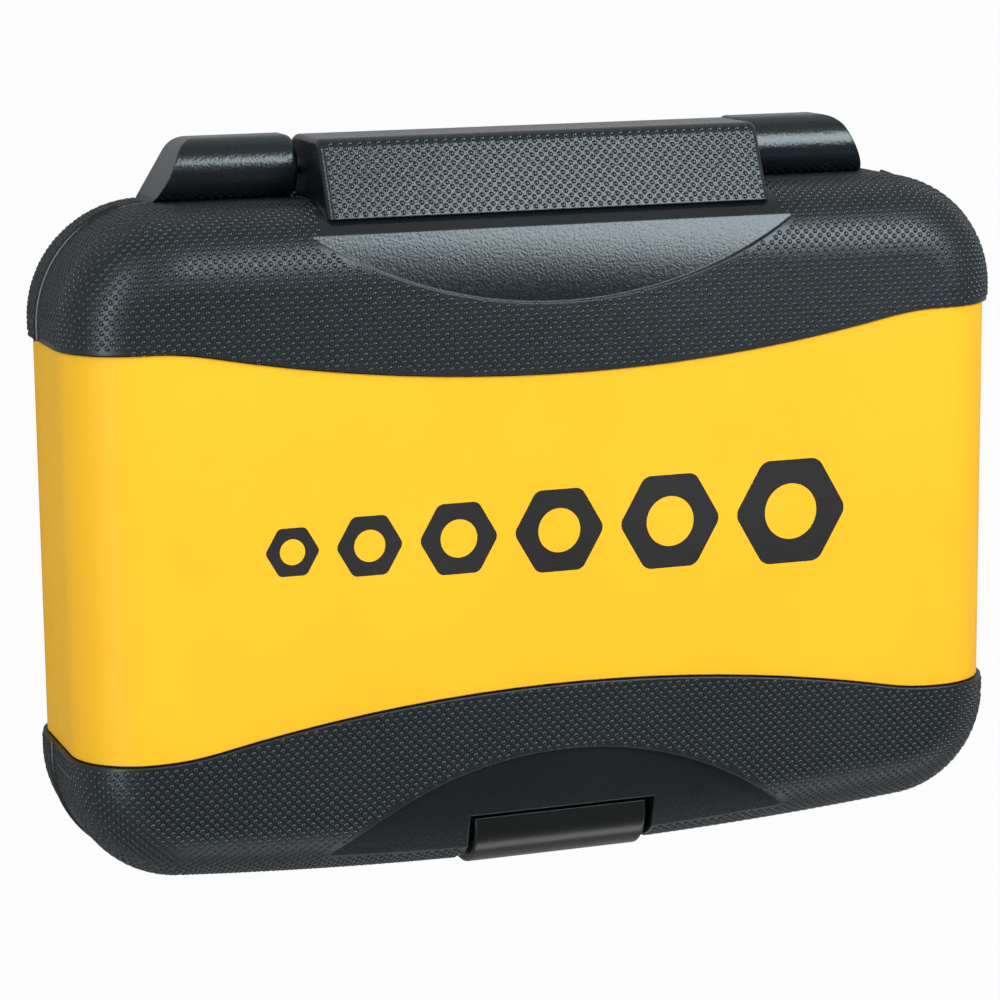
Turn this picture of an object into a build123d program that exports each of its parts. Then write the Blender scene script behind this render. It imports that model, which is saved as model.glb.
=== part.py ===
from build123d import *
import math
import os

os.makedirs("parts", exist_ok=True)

# Case envelope, in millimetres. The case lies on its base, hinge towards +Y, latch towards -Y.
case_width = 250.0
case_depth = 170.5          # hinge wall to the middle of the bowed latch side
latch_bow = 6.4             # how far that side bows out past its own corners
hinge_corner_radius = 29.2
latch_corner_radius = 28.1
base_height = 27.8          # underside to parting plane
base_rounding = 17.8
lid_height = 34.1           # parting plane to lid face
lid_rounding = 18.5
end_wall = 2.4              # wall of the black ends
lid_roof = 4.2              # roof of the lid over its black ends, where the scoops are sunk

# Yellow hourglass band, a moulded cover on each half that lies lower than the black ends
panel_step = 1.1
panel_thickness = 1.6
panel_seat_gap = 0.1        # between cover and the wall that carries it
panel_edge_gap = 0.4        # groove between cover and black ends
seam_gap = 0.4              # between lid cover and base cover at the parting plane
band_wall = 2.0             # wall behind the cover
band_centre = 1.7           # middle of the band, from the middle of the case
band_waist = 79.1           # band depth at its middle
band_end = 100.5            # band depth at the sides
band_waist_reach = 97.5     # where the waist arc would meet the straight ends
band_blend = 75.0           # reverse radius there

# Finger scoops in the lid face, one before the hinge block and one behind the latch
scoop_depth = 1.45
scoop_floor_radius = 75.0   # seen from the side
hinge_scoop_reach = 26.0    # from the hinge wall
hinge_scoop_radius = 119.0
latch_scoop_reach = 30.3    # from the latch side
latch_scoop_radius = 98.0

# Hinge: one wide knuckle block on the lid between two barrels on the base, on two steel pins
hinge_offset = 7.6          # axis behind the hinge wall, in the parting plane
barrel_radius = 7.8
hinge_gap = 0.5             # round each knuckle
knuckle_gap = 1.2           # between block and barrel along the axis
block_width = 117.0
block_front_rise = 28.2     # top face over the parting plane, where it leaves the lid
block_back_rise = 19.4      # same at the back edge
block_front_reach = 3.5     # top face starts this far inside the hinge wall
block_edge_radius = 3.5
block_side_radius = 1.5
block_skin = 2.6            # walls round the pockets under the block
block_pockets = 3
block_pocket_span = 66.0
block_rib = 2.4
barrel_back_drop = 7.8      # upright back of the barrel ends this far under the parting plane
barrel_foot_radius = 2.0
barrel_root_drop = 15.0     # root of the barrel on the base wall, under the parting plane
barrel_root_bite = 1.2      # how deep the root sits in that wall
barrel_back_end = 88.5      # outer end of the barrel at its back, from the middle
barrel_wall_end = 96.0      # outer end at the hinge wall
barrel_corner_radius = 6.0
barrel_nose_radius = 1.8    # round the end that faces the block
pin_radius = 2.0
pin_running_gap = 0.05      # in the block, which turns
pin_press_gap = 0.02        # in the barrels
pin_in_block = 22.0
pin_in_barrel = 20.0
pin_end_gap = 0.3

# Latch on the middle of the bowed side
latch_width = 47.1
latch_side_gap = 1.75
latch_bay_depth = 7.6       # floor of the bay, in from the skin of the case
latch_bay_wall = 2.0
latch_bay_reach = 14.3      # how far the bay runs in over the lid
latch_bay_drop = 18.5       # lower edge of the bay under the parting plane
latch_end_gap = 1.3         # between the free end of the latch and the bay
latch_proud = 1.1           # latch face stands this far out of the side
latch_top_rise = 29.4       # flat top over the parting plane
latch_shoulder_radius = 11.7  # from the upright face over to the flat top
latch_plate = 2.4
latch_cheek = 1.6           # cheeks are as deep as the knuckle is thick from its pin outwards
latch_edge_radius = 0.8
latch_pin_radius = 1.5
latch_pin_drop = 12.0       # pin under the parting plane
latch_pin_inset = 2.6       # and in from the skin of the case
latch_pin_bite = 4.0        # each end of the pin in its boss
latch_boss_length = 5.0
latch_boss_radius = 3.2
latch_catch_rise = 17.0     # top of the ledge that the hook sits over
latch_catch_height = 3.5
latch_catch_width = 34.0
latch_catch_gap = 0.7       # ledge to the inner face of the latch
latch_hook_gap = 0.3
latch_hook_height = 3.0
latch_hook_bite = 1.8
latch_hook_width = 32.0

# Rim: a tongue on the base enters a rebate in the lid
lip_thickness = 1.0
lip_height = 1.6
lip_gap = 0.25

# Trays and their screws
tray_wall = 1.6
tray_gap = 0.4              # round each tray
tray_drop = 0.8             # top of the base tray under the parting plane
screw_side_inset = 13.5     # from the side of the case
screw_y = 32.0              # before and behind the middle of the case
screw_shank_radius = 1.5
screw_head_radius = 3.0
screw_head_height = 2.0
screw_head_chamfer = 0.7
screw_bite = 7.0
screw_gap = 0.1
boss_radius = 3.6

# Tool beds. Sockets lie on their sides in graded half round cradles.
large_socket_radii = [9.0, 9.5, 10.0, 10.5, 11.0, 11.5, 12.5, 13.5]
large_socket_length = 29.0
large_row_y = 56.5          # bed places are measured from the middle of the case
small_socket_radii = [5.5, 5.5, 6.0, 6.0, 6.5, 7.0, 7.5, 8.0, 8.5, 9.0]
small_socket_length = 25.5
small_row_y = -51.0
cradle_web = 3.0
cradle_drop = 3.0           # crests of the webs under the top of the tray
channel_width = 11.0        # finger channel across each row
channel_depth = 7.5
ratchet_y = 18.0
ratchet_head_x = -82.0
ratchet_head_radius = 17.5
ratchet_neck_width = 15.0
ratchet_grip_width = 21.0
ratchet_grip_length = 88.0
ratchet_grip_end = 102.0
ratchet_depth = 17.0
bar_y = -17.5
bar_depth = 12.0
extension_width = 14.0
extension_start = -104.0
extension_end = 38.0
adapter_width = 20.0
adapter_start = 52.0
adapter_end = 104.0
finger_width = 26.0
finger_length = 36.0
bed_corner_radius = 3.0

# Lid liner: a shallow pan that closes the lid and presses on the tools with its ribs
liner_rise = 15.5           # liner plate over the parting plane
liner_clear = 0.3           # rim of the liner over the parting plane
rib_height = 3.2
rib_width = 2.4
rib_pitch = 7.0
rib_rows = 3
rib_length = 190.0

# Places that follow from the sizes above. The origin is under the middle of the whole outline.
hinge_reach = hinge_offset + barrel_radius
case_middle = (latch_proud - hinge_reach) / 2
back_y = case_middle + case_depth / 2
front_y = case_middle - case_depth / 2
side_x = case_width / 2
screw_x = side_x - screw_side_inset
parting = base_height
hinge_y = back_y + hinge_offset
band_y = case_middle + band_centre
cover_inset = panel_step + panel_thickness
core_inset = cover_inset + panel_seat_gap
band_inset = core_inset + band_wall
ends_grow = panel_edge_gap + end_wall
barrel_start = block_width / 2 + knuckle_gap
latch_face_y = front_y - latch_proud
latch_top = parting + latch_top_rise
latch_tip_y = front_y + latch_bay_reach - latch_end_gap
latch_pin_y = front_y + latch_pin_inset
latch_pin_z = parting - latch_pin_drop
knuckle_radius = latch_pin_inset + latch_proud
bay_half_width = latch_width / 2 + latch_side_gap
tray_top = parting - tray_drop
far = 2 * case_width        # longer than any cut has to be


def case_outline(inset):
    """Plan of the case, drawn in by inset."""
    with BuildSketch(mode=Mode.PRIVATE) as outline:
        corner_y = front_y + latch_bow
        with BuildLine():
            Polyline((side_x, corner_y), (side_x, back_y), (-side_x, back_y), (-side_x, corner_y))
            ThreePointArc((-side_x, corner_y), (0, front_y), (side_x, corner_y))
        make_face()
        fillet(outline.vertices().group_by(Axis.Y)[-1], hinge_corner_radius)
        fillet(outline.vertices().group_by(Axis.Y)[0], latch_corner_radius)
        if inset > 0:
            offset(amount=-inset)
    return outline.sketch


def half_case(inset, height, rounding, way, roof=None):
    """One half of the case as a solid, drawn in by inset. way is 1 for the lid, -1 for the base."""
    roof = inset if roof is None else roof
    with BuildPart(mode=Mode.PRIVATE) as half:
        with BuildSketch(Plane.XY.offset(parting)):
            add(case_outline(inset))
        extrude(amount=way * (height - roof))
        crown = half.faces().sort_by(Axis.Z)[-1 if way > 0 else 0]
        fillet(crown.edges(), rounding - inset)
    return half.part


def band_outline(grow):
    """Plan of the hourglass band, run out past both sides of the case."""
    with BuildSketch(mode=Mode.PRIVATE) as band:
        back = band_y + band_end / 2
        front = band_y - band_end / 2
        reach = band_waist_reach
        with BuildLine():
            ThreePointArc((-reach, back), (0, band_y + band_waist / 2), (reach, back))
            Polyline((reach, back), (case_width, back), (case_width, front), (reach, front))
            ThreePointArc((reach, front), (0, band_y - band_waist / 2), (-reach, front))
            Polyline((-reach, front), (-case_width, front), (-case_width, back), (-reach, back))
        make_face()
        waist_ends = band.vertices().filter_by(lambda corner: abs(corner.X) < side_x)
        fillet(waist_ends, band_blend)
        if grow > 0:
            offset(amount=grow, kind=Kind.INTERSECTION)
    return band.sketch


def band_prism(grow):
    """Upright prism through the band."""
    with BuildPart(mode=Mode.PRIVATE) as prism:
        with BuildSketch():
            add(band_outline(grow))
        extrude(amount=case_width, both=True)
    return prism.part


def hollow_outline(inset):
    """Plan of the hollow at the parting plane: wide at the black ends, narrower behind the covers."""
    with BuildSketch(mode=Mode.PRIVATE) as hollow:
        add(case_outline(end_wall + inset))
        add(band_outline(ends_grow + inset), mode=Mode.SUBTRACT)
        add(case_outline(band_inset + inset))
    return hollow.sketch


def hollow(height, rounding, way, roof):
    """The hollow of one half."""
    with BuildPart(mode=Mode.PRIVATE) as space:
        add(half_case(end_wall, height, rounding, way, roof))
        add(band_prism(ends_grow), mode=Mode.SUBTRACT)
        add(half_case(band_inset, height, rounding, way))
    return space.part


def black_half(height, rounding, way, roof):
    """Black moulding of one half: full size ends, and a lower wall for the cover to lie on."""
    with BuildPart(mode=Mode.PRIVATE) as moulding:
        add(half_case(0, height, rounding, way))
        add(band_prism(panel_edge_gap), mode=Mode.SUBTRACT)
        add(half_case(core_inset, height, rounding, way))
        add(hollow(height, rounding, way, roof), mode=Mode.SUBTRACT)
    return moulding.part


def cover(height, rounding, way):
    """Yellow cover of one half, a U over the flat face and both sides."""
    with BuildPart(mode=Mode.PRIVATE) as panel:
        add(half_case(panel_step, height, rounding, way))
        add(half_case(cover_inset, height, rounding, way), mode=Mode.SUBTRACT)
        add(band_prism(0), mode=Mode.INTERSECT)
        with Locations((0, 0, parting)):
            Box(far, far, seam_gap, mode=Mode.SUBTRACT)
    return panel.part


def latch_bay(grow, height, rounding, way, rise):
    """Bay for the latch in one half, its walls pushed out by grow."""
    with BuildPart(mode=Mode.PRIVATE) as bay:
        depth = latch_bay_reach + grow + latch_bow
        with BuildSketch(Plane.XY.offset(parting)):
            with Locations((0, front_y - latch_bow + depth / 2)):
                Rectangle(2 * (bay_half_width + grow), depth)
        extrude(amount=way * (rise + grow))
        add(half_case(latch_bay_depth + grow, height, rounding, way), mode=Mode.SUBTRACT)
    return bay.part


def lid_bay(grow):
    return latch_bay(grow, lid_height, lid_rounding, 1, lid_height)


def base_bay(grow):
    return latch_bay(grow, base_height, base_rounding, -1, latch_bay_drop)


def common(first, second):
    """What two solids share."""
    with BuildPart(mode=Mode.PRIVATE) as shared:
        add(first)
        add(second, mode=Mode.INTERSECT)
    return shared.part


def rod_along_x(radius, start, end, y, z):
    """Round bar along X, its ends at start and end."""
    with BuildPart(mode=Mode.PRIVATE) as bar:
        with BuildSketch(Plane.YZ.offset(start)):
            with Locations((y, z)):
                Circle(radius)
        extrude(amount=end - start)
    return bar.part


def both_sides(solid):
    """A solid and its mirror image across the middle of the case."""
    with BuildPart(mode=Mode.PRIVATE) as pair:
        add(solid)
        mirror(about=Plane.YZ)
    return pair.part


def scoop(edge_y, radius, way):
    """Round ended sink in the lid face. Its floor leaves the edge level and then rolls away."""
    floor_z = parting + lid_height - scoop_depth
    with BuildPart(mode=Mode.PRIVATE) as sink:
        with BuildSketch(Plane.XY.offset(floor_z - scoop_floor_radius / 4)):
            with Locations((0, edge_y + way * radius)):
                Circle(radius)
        extrude(amount=scoop_floor_radius)
        roll = rod_along_x(scoop_floor_radius, -far, far, edge_y, floor_z - scoop_floor_radius)
        add(roll, mode=Mode.SUBTRACT)
    return sink.part


def screws(head_z, way):
    """Four pan head screws, heads against the plane at head_z, shanks along way."""
    with BuildPart(mode=Mode.PRIVATE) as group:
        with BuildSketch(Plane.XY.offset(head_z)):
            with Locations((0, case_middle)):
                with GridLocations(2 * screw_x, 2 * screw_y, 2, 2):
                    Circle(screw_head_radius)
        extrude(amount=-way * screw_head_height)
        crowns = group.faces().sort_by(Axis.Z)[:4] if way > 0 else group.faces().sort_by(Axis.Z)[-4:]
        chamfer(crowns.edges(), screw_head_chamfer)
        with BuildSketch(Plane.XY.offset(head_z)):
            with Locations((0, case_middle)):
                with GridLocations(2 * screw_x, 2 * screw_y, 2, 2):
                    Circle(screw_shank_radius)
        extrude(amount=way * (tray_wall + screw_bite))
    return group.part


def posts(radius, start_z, end_z):
    """Four upright round posts at the places of the screws."""
    with BuildPart(mode=Mode.PRIVATE) as group:
        with BuildSketch(Plane.XY.offset(start_z)):
            with Locations((0, case_middle)):
                with GridLocations(2 * screw_x, 2 * screw_y, 2, 2):
                    Circle(radius)
        extrude(amount=end_z - start_z)
    return group.part


def knuckle_block():
    """The lid's knuckle: its sloping top runs on from the lid face, its foot turns about the pins."""
    with BuildPart(mode=Mode.PRIVATE) as block:
        with BuildSketch(Plane.YZ.offset(-block_width / 2)) as profile:
            inside = back_y - block_front_reach
            outside = back_y + hinge_reach
            back = (outside, parting + block_back_rise)
            with BuildLine():
                Polyline((hinge_y - barrel_radius, parting), (inside, parting),
                         (inside, parting + block_front_rise), back, (outside, parting))
                ThreePointArc((outside, parting), (hinge_y, parting - barrel_radius),
                              (hinge_y - barrel_radius, parting))
            make_face()
            fillet(profile.vertices().sort_by_distance(back)[0], block_edge_radius)
        extrude(amount=block_width)
        ends = block.faces().filter_by(Axis.X).edges()
        outer_ends = ends.filter_by(lambda edge: edge.center().Y > back_y or edge.center().Z < parting)
        fillet(outer_ends, block_side_radius)
    return block.part


def block_pocket(start):
    """One pocket that cores the block out from below."""
    rise_over = block_front_rise - block_back_rise
    slope = rise_over / (hinge_reach + block_front_reach)
    near = back_y + block_skin
    far_side = back_y + hinge_reach - block_skin
    with BuildPart(mode=Mode.PRIVATE) as pocket:
        with BuildSketch(Plane.YZ.offset(start)):
            top = parting + block_back_rise - block_skin * math.hypot(1, slope)
            near_top = top + slope * (hinge_reach - block_skin)
            with BuildLine():
                Polyline((near, parting - hinge_reach), (near, near_top),
                         (far_side, top + slope * block_skin), (far_side, parting - hinge_reach),
                         close=True)
            make_face()
        extrude(amount=(block_pocket_span - (block_pockets - 1) * block_rib) / block_pockets)
    return pocket.part


def hinge_barrel():
    """The base's knuckle on the right: round above, upright behind, on a tapered root."""
    root_y = back_y - barrel_root_bite
    back = back_y + hinge_reach
    foot = (back, parting - barrel_back_drop)
    with BuildPart(mode=Mode.PRIVATE) as barrel:
        with BuildSketch(Plane.YZ.offset(barrel_start)) as profile:
            with Locations((hinge_y, parting)):
                Circle(barrel_radius)
            with BuildLine():
                Polyline((root_y, parting), (back, parting), foot,
                         (root_y, parting - barrel_root_drop), close=True)
            make_face()
            fillet(profile.vertices().sort_by_distance(foot)[0], barrel_foot_radius)
        extrude(amount=barrel_wall_end)
        nose = barrel.faces().sort_by(Axis.X)[0].edges()
        fillet(nose.filter_by(lambda edge: edge.center().Y > hinge_y), barrel_nose_radius)
        with BuildSketch(Plane.XY.offset(-base_height)) as plan:
            lean = (barrel_wall_end - barrel_back_end) / hinge_reach
            inside = back_y - end_wall
            with BuildLine():
                Polyline((0, inside), (0, back), (barrel_back_end, back),
                         (barrel_wall_end + lean * end_wall, inside), close=True)
            make_face()
            corner = plan.vertices().sort_by_distance((barrel_back_end, back, 0))[0]
            fillet(corner, barrel_corner_radius)
        extrude(amount=far, mode=Mode.INTERSECT)
    return barrel.part


def socket_row(radii, length, row_y, grow):
    """Bed for a row of sockets: a shallow box over half round cradles, with a finger channel."""
    span = 2 * sum(radii) + cradle_web * (len(radii) - 1)
    crest = tray_top - cradle_drop
    middle = case_middle + row_y
    with BuildPart(mode=Mode.PRIVATE) as bed:
        with BuildSketch(Plane.XY.offset(tray_top)):
            with Locations((0, middle)):
                RectangleRounded(span + 2 * grow, length + 2 * grow, bed_corner_radius + grow)
        extrude(amount=-cradle_drop - grow)
        with BuildSketch(Plane.XY.offset(tray_top)):
            with Locations((0, middle)):
                Rectangle(span + 2 * grow, channel_width + 2 * grow)
        extrude(amount=-channel_depth - grow)
        start = -span / 2
        for radius in radii:
            with Locations((start + radius, middle, crest)):
                Cylinder(radius + grow, length + 2 * grow, rotation=(90, 0, 0))
            start += 2 * radius + cradle_web
    return bed.part


def ratchet_bed(grow):
    """Bed for the ratchet: head, neck and grip, with a finger well across the grip."""
    grip_start = ratchet_grip_end - ratchet_grip_length
    neck_length = grip_start - ratchet_head_x + ratchet_grip_width / 2
    with BuildPart(mode=Mode.PRIVATE) as bed:
        with BuildSketch(Plane.XY.offset(tray_top)) as outline:
            with Locations((ratchet_head_x, case_middle + ratchet_y)):
                Circle(ratchet_head_radius)
                Rectangle(neck_length, ratchet_neck_width, align=(Align.MIN, Align.CENTER))
            with Locations((grip_start + ratchet_grip_length / 2, case_middle + ratchet_y)):
                RectangleRounded(ratchet_grip_length, ratchet_grip_width, ratchet_grip_width / 3)
                RectangleRounded(finger_width, finger_length, finger_width / 3)
            if grow > 0:
                offset(amount=grow)
        extrude(amount=-ratchet_depth - grow)
    return bed.part


def bar_bed(start, end, width, grow):
    """Long bed with a finger well at its middle."""
    with BuildPart(mode=Mode.PRIVATE) as bed:
        with BuildSketch(Plane.XY.offset(tray_top)):
            with Locations(((start + end) / 2, case_middle + bar_y)):
                RectangleRounded(end - start, width, bed_corner_radius)
                RectangleRounded(finger_width, width + 2 * bed_corner_radius, bed_corner_radius)
            if grow > 0:
                offset(amount=grow)
        extrude(amount=-bar_depth - grow)
    return bed.part


def tool_beds(grow):
    """Every bed of the base tray."""
    return [
        socket_row(large_socket_radii, large_socket_length, large_row_y, grow),
        socket_row(small_socket_radii, small_socket_length, small_row_y, grow),
        ratchet_bed(grow),
        bar_bed(extension_start, extension_end, extension_width, grow),
        bar_bed(adapter_start, adapter_end, adapter_width, grow),
    ]


def latch_slab(depth, half_width, start_z):
    """Slab under the face of the latch, depth thick, from start_z over the shoulder to the tip."""
    outer = (latch_face_y, latch_top)
    inner = (latch_face_y + depth, latch_top - depth)
    with BuildPart(mode=Mode.PRIVATE) as slab:
        with BuildSketch(Plane.YZ.offset(-half_width)) as profile:
            with BuildLine():
                Polyline((latch_face_y, start_z), outer, (latch_tip_y, latch_top),
                         (latch_tip_y, latch_top - depth), inner,
                         (latch_face_y + depth, start_z), close=True)
            make_face()
            fillet(profile.vertices().sort_by_distance(outer)[0], latch_shoulder_radius)
            fillet(profile.vertices().sort_by_distance(inner)[0], latch_shoulder_radius - depth)
        extrude(amount=2 * half_width)
    return slab.part


def on_latch_face(edge):
    """True for an edge that bounds the outer face of the latch."""
    middle = edge @ 0.5
    shoulder_y = latch_face_y + latch_shoulder_radius
    shoulder_z = latch_top - latch_shoulder_radius
    reach = math.hypot(middle.Y - shoulder_y, middle.Z - shoulder_z)
    on_flats = middle.Y < latch_face_y + 0.01 or middle.Z > latch_top - 0.01
    return on_flats or abs(reach - latch_shoulder_radius) < 0.01


# Lid shell
hinge_edge = back_y - hinge_scoop_reach
latch_edge = front_y + latch_scoop_reach
lid_moulding = black_half(lid_height, lid_rounding, 1, lid_roof)
lid_hollow = hollow(lid_height, lid_rounding, 1, lid_roof)
lid_bay_walls = common(lid_bay(latch_bay_wall), half_case(0, lid_height, lid_rounding, 1))
lid_bay_space = lid_bay(0)
hinge_scoop = scoop(hinge_edge, hinge_scoop_radius, 1)
latch_scoop = scoop(latch_edge, latch_scoop_radius, -1)
block = knuckle_block()
pocket_pitch = (block_pocket_span + block_rib) / block_pockets
pockets = [block_pocket(i * pocket_pitch - block_pocket_span / 2) for i in range(block_pockets)]
barrel_room = both_sides(rod_along_x(barrel_radius + hinge_gap, block_width / 2,
                                     barrel_wall_end + knuckle_gap, hinge_y, parting))
block_bores = both_sides(rod_along_x(pin_radius + pin_running_gap,
                                     block_width / 2 - pin_in_block - pin_end_gap,
                                     block_width / 2 + knuckle_gap, hinge_y, parting))
liner_top = parting + liner_rise + tray_wall
lid_posts = common(posts(boss_radius, liner_top, parting + lid_height),
                   half_case(core_inset, lid_height, lid_rounding, 1))
lid_post_bores = posts(screw_shank_radius + screw_gap, liner_top, liner_top + screw_bite + screw_gap)
catch_z = parting + latch_catch_rise
catch_y = latch_face_y + latch_plate + latch_catch_gap
with BuildPart() as lid_shell:
    add(lid_moulding)
    add(block)
    add(hinge_scoop, mode=Mode.SUBTRACT)
    add(latch_scoop, mode=Mode.SUBTRACT)
    add(lid_hollow, mode=Mode.SUBTRACT)
    with BuildSketch(Plane.XY.offset(parting)):
        add(hollow_outline(0))
        offset(amount=lip_thickness + lip_gap)
    extrude(amount=lip_height + lip_gap, mode=Mode.SUBTRACT)
    for pocket in pockets:
        add(pocket, mode=Mode.SUBTRACT)
    add(barrel_room, mode=Mode.SUBTRACT)
    add(block_bores, mode=Mode.SUBTRACT)
    add(lid_bay_walls)
    add(latch_scoop, mode=Mode.SUBTRACT)
    add(lid_bay_space, mode=Mode.SUBTRACT)
    with BuildSketch(Plane.XY.offset(catch_z)):
        with Locations((0, catch_y)):
            catch_depth = front_y + latch_bay_depth + latch_bay_wall / 2 - catch_y
            Rectangle(latch_catch_width, catch_depth, align=(Align.CENTER, Align.MIN))
    extrude(amount=-latch_catch_height)
    add(lid_posts)
    add(lid_post_bores, mode=Mode.SUBTRACT)
lid_shell.part.label = "lid_shell"
export_step(lid_shell.part, "parts/lid_shell.step")

# Lid cover
lid_cover = cover(lid_height, lid_rounding, 1)
lid_cover.label = "lid_panel"
export_step(lid_cover, "parts/lid_panel.step")

# Lid liner
liner_plate_z = parting + liner_rise
liner_bay = lid_bay(latch_bay_wall + tray_gap)
liner_bay_wall = lid_bay(latch_bay_wall + tray_gap + tray_wall)
with BuildPart() as liner_space:
    with BuildSketch(Plane.XY.offset(parting)):
        add(hollow_outline(tray_gap + tray_wall))
    extrude(amount=liner_rise)
    add(liner_bay_wall, mode=Mode.SUBTRACT)
with BuildPart() as lid_tray:
    with BuildSketch(Plane.XY.offset(parting + liner_clear)):
        add(hollow_outline(tray_gap))
    extrude(amount=liner_rise + tray_wall - liner_clear)
    add(liner_bay, mode=Mode.SUBTRACT)
    add(liner_space.part, mode=Mode.SUBTRACT)
    for row_y in (large_row_y, small_row_y):
        with BuildSketch(Plane.XY.offset(liner_plate_z)):
            with Locations((0, case_middle + row_y)):
                with GridLocations(0, rib_pitch, 1, rib_rows):
                    SlotOverall(rib_length, rib_width)
        extrude(amount=-rib_height)
    add(posts(screw_shank_radius + 2 * screw_gap, liner_plate_z, liner_top), mode=Mode.SUBTRACT)
lid_tray.part.label = "lid_tray"
export_step(lid_tray.part, "parts/lid_tray.step")

# Screws of the lid liner
lid_screws = screws(liner_plate_z, 1)
lid_screws.label = "lid_tray_screws"
export_step(lid_screws, "parts/lid_tray_screws.step")

# Base shell
base_moulding = black_half(base_height, base_rounding, -1, end_wall)
base_bay_walls = common(base_bay(latch_bay_wall), half_case(0, base_height, base_rounding, -1))
base_bay_space = base_bay(0)
block_room = rod_along_x(barrel_radius + hinge_gap, -barrel_start, barrel_start, hinge_y, parting)
barrels = both_sides(hinge_barrel())
barrel_bores = both_sides(rod_along_x(pin_radius + pin_press_gap, block_width / 2,
                                      barrel_start + pin_in_barrel + pin_end_gap, hinge_y, parting))
pin_bosses = common(both_sides(rod_along_x(latch_boss_radius, bay_half_width,
                                           bay_half_width + latch_boss_length,
                                           latch_pin_y, latch_pin_z)),
                    half_case(0, base_height, base_rounding, -1))
pin_boss_bore = rod_along_x(latch_pin_radius + pin_press_gap,
                            -bay_half_width - latch_pin_bite - screw_gap,
                            bay_half_width + latch_pin_bite + screw_gap, latch_pin_y, latch_pin_z)
tray_floor = tray_top - tray_wall
base_posts = common(posts(boss_radius, 0, tray_floor),
                    half_case(core_inset, base_height, base_rounding, -1))
base_post_bores = posts(screw_shank_radius + screw_gap, tray_floor - screw_bite - screw_gap, tray_floor)
lip_room = lid_bay(latch_bay_wall)
with BuildPart() as base_shell:
    add(base_moulding)
    with BuildSketch(Plane.XY.offset(parting)) as lip:
        add(hollow_outline(0))
        offset(amount=lip_thickness)
        add(hollow_outline(0), mode=Mode.SUBTRACT)
    extrude(amount=lip_height)
    add(lip_room, mode=Mode.SUBTRACT)
    add(base_bay_walls)
    add(base_bay_space, mode=Mode.SUBTRACT)
    add(pin_bosses)
    add(pin_boss_bore, mode=Mode.SUBTRACT)
    add(block_room, mode=Mode.SUBTRACT)
    add(barrels)
    add(barrel_bores, mode=Mode.SUBTRACT)
    add(base_posts)
    add(base_post_bores, mode=Mode.SUBTRACT)
base_shell.part.label = "base_shell"
export_step(base_shell.part, "parts/base_shell.step")

# Base cover
base_cover = cover(base_height, base_rounding, -1)
base_cover.label = "base_panel"
export_step(base_cover, "parts/base_panel.step")

# Base tray
tray_bay = base_bay(latch_bay_wall + tray_gap)
bed_skins = tool_beds(tray_wall)
beds = tool_beds(0)
with BuildPart() as base_tray:
    with BuildSketch(Plane.XY.offset(tray_top)):
        add(hollow_outline(tray_gap))
    extrude(amount=-tray_wall)
    add(tray_bay, mode=Mode.SUBTRACT)
    for skin in bed_skins:
        add(skin)
    with Locations((0, 0, tray_top)):
        Box(far, far, far, align=(Align.CENTER, Align.CENTER, Align.MIN), mode=Mode.SUBTRACT)
    for bed in beds:
        add(bed, mode=Mode.SUBTRACT)
    add(posts(screw_shank_radius + 2 * screw_gap, tray_floor, tray_top), mode=Mode.SUBTRACT)
base_tray.part.label = "base_tray"
export_step(base_tray.part, "parts/base_tray.step")

# Screws of the base tray
base_screws = screws(tray_top, -1)
base_screws.label = "base_tray_screws"
export_step(base_screws, "parts/base_tray_screws.step")

# Hinge pins
for side, name in ((1, "right"), (-1, "left")):
    inner = block_width / 2 - pin_in_block
    outer = barrel_start + pin_in_barrel
    start, end = sorted((side * inner, side * outer))
    with BuildPart() as hinge_pin:
        add(rod_along_x(pin_radius, start, end, hinge_y, parting))
        chamfer(hinge_pin.edges(), pin_radius / 6)
    hinge_pin.part.label = "hinge_pin_" + name
    export_step(hinge_pin.part, "parts/hinge_pin_" + name + ".step")

# Latch
cheek_start = latch_width / 2 - latch_cheek
hook_z = catch_z + latch_hook_gap
hook_root = latch_face_y + latch_plate * 0.8
with BuildPart() as cheeks:
    add(latch_slab(knuckle_radius, latch_width / 2, latch_pin_z))
    add(latch_slab(latch_bay_depth, cheek_start, latch_pin_z), mode=Mode.SUBTRACT)
knuckle = rod_along_x(knuckle_radius, -latch_width / 2, latch_width / 2, latch_pin_y, latch_pin_z)
latch_bore = rod_along_x(latch_pin_radius + pin_running_gap, -far, far, latch_pin_y, latch_pin_z)
with BuildPart() as latch:
    add(latch_slab(latch_plate, latch_width / 2, latch_pin_z))
    add(cheeks.part)
    add(knuckle)
    add(latch_bore, mode=Mode.SUBTRACT)
    with BuildSketch(Plane.XY.offset(hook_z)):
        with Locations((0, hook_root)):
            Rectangle(latch_hook_width, catch_y + latch_hook_bite - hook_root,
                      align=(Align.CENTER, Align.MIN))
    extrude(amount=latch_hook_height)
    ends = latch.faces().filter_by(Axis.X)
    outer = [ends.sort_by(Axis.X)[0], ends.sort_by(Axis.X)[-1]]
    rim = ShapeList(edge for face in outer for edge in face.edges() if on_latch_face(edge))
    fillet(rim, latch_edge_radius)
latch.part.label = "latch"
export_step(latch.part, "parts/latch.step")

# Latch pin
pin_end = bay_half_width + latch_pin_bite
with BuildPart() as latch_pin:
    add(rod_along_x(latch_pin_radius, -pin_end, pin_end, latch_pin_y, latch_pin_z))
    chamfer(latch_pin.edges(), latch_pin_radius / 6)
latch_pin.part.label = "latch_pin"
export_step(latch_pin.part, "parts/latch_pin.step")
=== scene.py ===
import math

import bpy
import numpy as np
from mathutils import Matrix, Vector
from mathutils.bvhtree import BVHTree
from mathutils.kdtree import KDTree


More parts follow.
